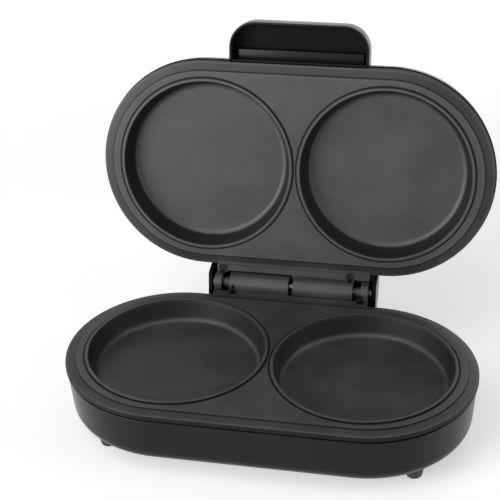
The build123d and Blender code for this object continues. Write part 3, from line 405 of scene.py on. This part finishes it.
def roundedBox(low, high, radius, steps=4):
    # a (y, z) rectangle with quarter-round corners carried along x. Near each end the corners' radius
    # shrinks as a sine while x moves as a cosine, and a last ring at the middle closes the end.
    low, high = np.array(low, float), np.array(high, float)
    quarters = [np.linspace(90 * k, 90 * k + 90, steps + 1) for k in range(4)]
    turn = np.radians(np.concatenate(quarters + [[0]]))
    corner = np.repeat([[1, 1], [-1, 1], [-1, -1], [1, -1]], steps + 1, axis=0)
    corner = np.vstack([corner, corner[:1]])
    middle, half = (low + high)[1:] / 2, (high - low)[1:] / 2 - radius
    bend = np.radians(np.linspace(0, 90, steps + 1))
    along = np.concatenate([[low[0]], low[0] + radius * (1 - np.cos(bend)),
                            high[0] - radius * (1 - np.cos(bend[::-1])), [high[0]]])
    spread = np.concatenate([[0], radius * np.sin(bend), radius * np.sin(bend[::-1]), [0]])
    reach = np.concatenate([[0], np.ones(2 * (steps + 1)), [0]])
    yz = (middle + reach[:, None, None] * corner * half
          + spread[:, None, None] * np.stack([np.cos(turn), np.sin(turn)], axis=-1))
    x = np.broadcast_to(along[:, None], yz.shape[:2])
    return surface(np.concatenate([x[..., None], yz], axis=-1), flip=True)


# lengths in millimetres, drawn shut; topParts is how many parts a corner's flat top is split into
handle = {
    "halfWidth": 58.0, "front": -120.5, "back": -86.6, "corner": 21.0, "rim": 8.5, "top": 27.0, "wall": 2.5,
    "edge": 4.0, "insideEdge": 1.6, "rimRound": 0.9, "edgeSteps": 8, "topParts": 3,
    "sidePoints": 9, "cornerPoints": 17, "frontPoints": 25,
    "rootHalf": 53.0, "rootFront": -96.4, "rootDepth": 6.0, "rootInto": 0.6, "rootRound": 0.7,
    "markRadius": 4.3, "markSpacing": 47.0, "markSetback": 16.0, "markLift": 0.14,
    "markFoot": 0.22, "markCrest": 0.1, "markPoints": 49,
    # the hollow's copy of the plastic has less gloss: painted shade
    "insideRoughness": 0.3, "insideSpecular": 0.05,
}


def handleRoute():
    # points inside the U, and for each the direction in which the wall lies: sides straight back, front
    # straight across, and at each corner one point with the direction turning through a quarter
    h = handle
    sides, fronts, corners = h["sidePoints"], h["frontPoints"], h["cornerPoints"] - 2
    x, y = h["halfWidth"] - h["corner"], h["front"] + h["corner"]
    sideY, frontX = np.linspace(h["back"], y, sides), np.linspace(-x, x, fronts)
    turn = np.radians(np.linspace(180, 270, h["cornerPoints"]))[1:-1]
    foot = np.concatenate([np.stack([np.full(sides, -x), sideY], -1), np.full((corners, 2), (-x, y)),
                           np.stack([frontX, np.full(fronts, y)], -1), np.full((corners, 2), (x, y)),
                           np.stack([np.full(sides, x), sideY[::-1]], -1)])
    angle = np.concatenate([np.full(sides, np.pi), turn, np.full(fronts, 1.5 * np.pi), turn + np.pi / 2,
                            np.full(sides, 2 * np.pi)])
    return sideY, frontX, foot, np.stack([np.cos(angle), np.sin(angle)], axis=-1)


def makeHandle():
    # a closed wall profile of (distance, height) carried along the U; the middle is a flat web
    h = handle
    sideY, frontX, foot, out = handleRoute()
    inner = h["corner"] - h["wall"]
    middle, ceiling = h["corner"] - h["wall"] / 2, h["top"] - h["wall"]
    rimTop = h["rim"] + h["rimRound"]
    outside = np.vstack([[[middle, h["rim"]]],
                         quarter((h["corner"] - h["rimRound"], rimTop), h["rimRound"], -90, 0),
                         quarter((h["corner"] - h["edge"], h["top"] - h["edge"]), h["edge"], 0, 90,
                                 h["edgeSteps"]),
                         [[h["corner"] / h["topParts"], h["top"]], [0, h["top"]]]])
    inside = np.vstack([[[0, ceiling], [inner / h["topParts"], ceiling]],
                        quarter((inner - h["insideEdge"], ceiling - h["insideEdge"]), h["insideEdge"], 90, 0,
                                h["edgeSteps"]),
                        quarter((inner + h["rimRound"], rimTop), h["rimRound"], 180, 270),
                        [[middle, h["rim"]]]])

    def carried(profile):
        flat = foot[:, None] + out[:, None] * profile[None, :, :1]
        return np.concatenate([flat, np.broadcast_to(profile[None, :, 1:], flat.shape[:2] + (1,))], axis=-1)

    outer, hollow = carried(outside), carried(inside)
    webX, webY = np.meshgrid(frontX, sideY[::-1], indexing="ij")
    web = np.stack([webX, webY, np.full(webX.shape, h["top"])], axis=-1)
    under = web - [0, 0, h["wall"]]
    ends = [surface(np.stack([outer[k], hollow[k][::-1]]), flip=k == 0) for k in (0, -1)]
    ends.append(surface(np.stack([web[:, -1], under[:, -1]])))
    root = roundedBox((-h["rootHalf"], h["rootFront"], ceiling - h["rootDepth"]),
                      (h["rootHalf"], h["back"], ceiling + h["rootInto"]), h["rootRound"])
    surfaces = [surface(outer), surface(hollow, finish=1), surface(web), surface(under, flip=True, finish=1)]
    # the hollow's faces get a copy of the black plastic with less gloss, as painted shade
    shadedInside = blackShell("handleInsideShaded", h["insideRoughness"], h["insideSpecular"])
    makePiece("lidHandleShell", "lid", surfaces + ends + ejectorMarks(ceiling) + [root],
              [finishes["black_housing"], shadedInside], swung, replaced=("lid_handle",))


def ejectorMarks(ceiling):
    # three faint raised rings on the ceiling: a low flat-topped ridge carried round each circle
    h = handle
    circle = np.linspace(0, 2 * np.pi, h["markPoints"])[:, None]
    ridge = np.array([(-h["markFoot"], 0), (-h["markCrest"], h["markLift"]),
                      (h["markCrest"], h["markLift"]), (h["markFoot"], 0)])
    radius, drop, circle = np.broadcast_arrays(h["markRadius"] + ridge[:, 0], ridge[:, 1], circle)
    return [surface(np.stack([k * h["markSpacing"] + radius * np.cos(circle),
                              h["front"] + h["markSetback"] + radius * np.sin(circle),
                              ceiling - drop], axis=-1), finish=1) for k in (-1, 0, 1)]


makeHandle()
print("handle made")

# lengths in metres
stage = {"floorColour": (0.8, 0.8, 0.795), "floorTint": 1.03, "floorPatches": 900, "floorRoughness": 0.75,
         "floorSize": 40.0, "glow": 0.46, "nearby": 0.5, "fade": 2.0, "ambient": 0.14}


def seenDirectly(tree):
    # 1 for rays from the camera and for reflected and refracted rays, 0 for the light they gather
    path = tree.nodes.new("ShaderNodeLightPath")
    camera, glossy, through = (Shade(tree, path.outputs[name])
                               for name in ("Is Camera Ray", "Is Glossy Ray", "Is Transmission Ray"))
    return camera.atLeast(glossy.atLeast(through))


def makeFloor():
    # glows to the camera and in reflections, fully white far away, but keeps the shadow near the piece
    half = stage["floorSize"] / 2
    mesh = bpy.data.meshes.new("studioFloor")
    corners = [(-half, -half, 0), (half, -half, 0), (half, half, 0), (-half, half, 0)]
    mesh.from_pydata(corners, [], [(0, 1, 2, 3)])
    floor = bpy.data.objects.new("studioFloor", mesh)
    bpy.context.scene.collection.objects.link(floor)
    m = Recipe("studioFloor")
    tone = m.speckle(stage["floorPatches"], 2, 0.5)
    colour = m.blend(tone, stage["floorColour"], tinted(stage["floorColour"], stage["floorTint"]))
    x, y = m.node("SeparateXYZ", Vector=m.where()), m.node("SeparateXYZ", out=1, Vector=m.where())
    far = m.fade((x.beside(y) - stage["nearby"]) * (1 / stage["fade"]), 0, 1)
    glow = seenDirectly(m.tree) * (stage["glow"] + (1 - stage["glow"]) * far)
    mesh.materials.append(m.finish(colour, stage["floorRoughness"], Emission_Strength=1.0,
                                   Emission_Color=m.blend(glow, (0, 0, 0), (1, 1, 1))))


def makeWorld():
    # even white to the camera and in reflections, and a dim light on everything else
    world = bpy.data.worlds.new("studio")
    bpy.context.scene.world = world
    world.use_nodes = True
    tree = world.node_tree
    tree.nodes.clear()
    background = tree.nodes.new("ShaderNodeBackground")
    background.inputs["Color"].default_value = (1, 1, 1, 1)
    level = stage["ambient"] + seenDirectly(tree) * (1 - stage["ambient"])
    connect(tree, level, background.inputs["Strength"])
    output = tree.nodes.new("ShaderNodeOutputWorld")
    tree.links.new(background.outputs[0], output.inputs[0])


# metres and watts; all face the aim
lamps = {
    "frontLeft": {"at": (-1.3, -1.5, 0.6), "size": 1.5, "power": 42},
    "overhead": {"at": (-0.5, -0.6, 1.5), "size": 0.9, "power": 5},
    "right": {"at": (1.8, 0.0, 0.8), "size": 0.9, "power": 9},
    "rear": {"at": (0.3, 1.6, 1.0), "size": 0.9, "power": 5},
}
aim = {"point": (0, 0, 0.12), "across": (0, 1, 0.001)}


def turned(right, up, back, at):
    # a placing whose own x, y and z axes point along right, up and back
    return Matrix(np.vstack([np.column_stack([right, up, back, at]), [0, 0, 0, 1]]).tolist())


def makeLamp(name, spec):
    # a square soft light that faces the aim
    light = bpy.data.lights.new(name, "AREA")
    light.shape, light.size, light.energy = "SQUARE", spec["size"], spec["power"]
    lamp = bpy.data.objects.new(name, light)
    bpy.context.scene.collection.objects.link(lamp)
    at, to = np.array(spec["at"]), np.array(aim["point"])
    away = (at - to) / np.linalg.norm(at - to)
    side = np.cross(aim["across"], away)
    side /= np.linalg.norm(side)
    lamp.matrix_world = turned(side, np.cross(away, side), away, at)


# the photograph's view point, found by fitting the plates' outlines: place in millimetres from the
# shut plates' middle, angles in radians, lens and sensor in millimetres, near and far in metres
view = {"at": (182.77, -865.22, 617.19), "yaw": 0.221604, "pitch": 0.531483, "roll": -0.037720,
        "lens": 97.75, "sensor": 36, "near": 0.05, "far": 100}


def makeCamera():
    # ahead follows yaw and pitch, and the level right and up vectors are then turned by the roll
    yaw, pitch, roll = view["yaw"], view["pitch"], view["roll"]
    ahead = np.array([-np.sin(yaw) * np.cos(pitch), np.cos(yaw) * np.cos(pitch), -np.sin(pitch)])
    level = np.array([np.cos(yaw), np.sin(yaw), 0])
    above = np.cross(level, ahead)
    right = np.cos(roll) * level + np.sin(roll) * above
    up = -np.sin(roll) * level + np.cos(roll) * above
    data = bpy.data.cameras.new("photoView")
    data.lens, data.sensor_width = view["lens"], view["sensor"]
    data.clip_start, data.clip_end = view["near"], view["far"]
    camera = bpy.data.objects.new("photoView", data)
    bpy.context.scene.collection.objects.link(camera)
    camera.matrix_world = turned(right, up, -ahead, standing(np.array(view["at"])))
    bpy.context.scene.camera = camera


makeFloor()
makeWorld()
for name, spec in lamps.items():
    makeLamp(name, spec)
makeCamera()
bpy.context.scene.view_settings.view_transform = "Standard"
print("stage, lamps and camera set")
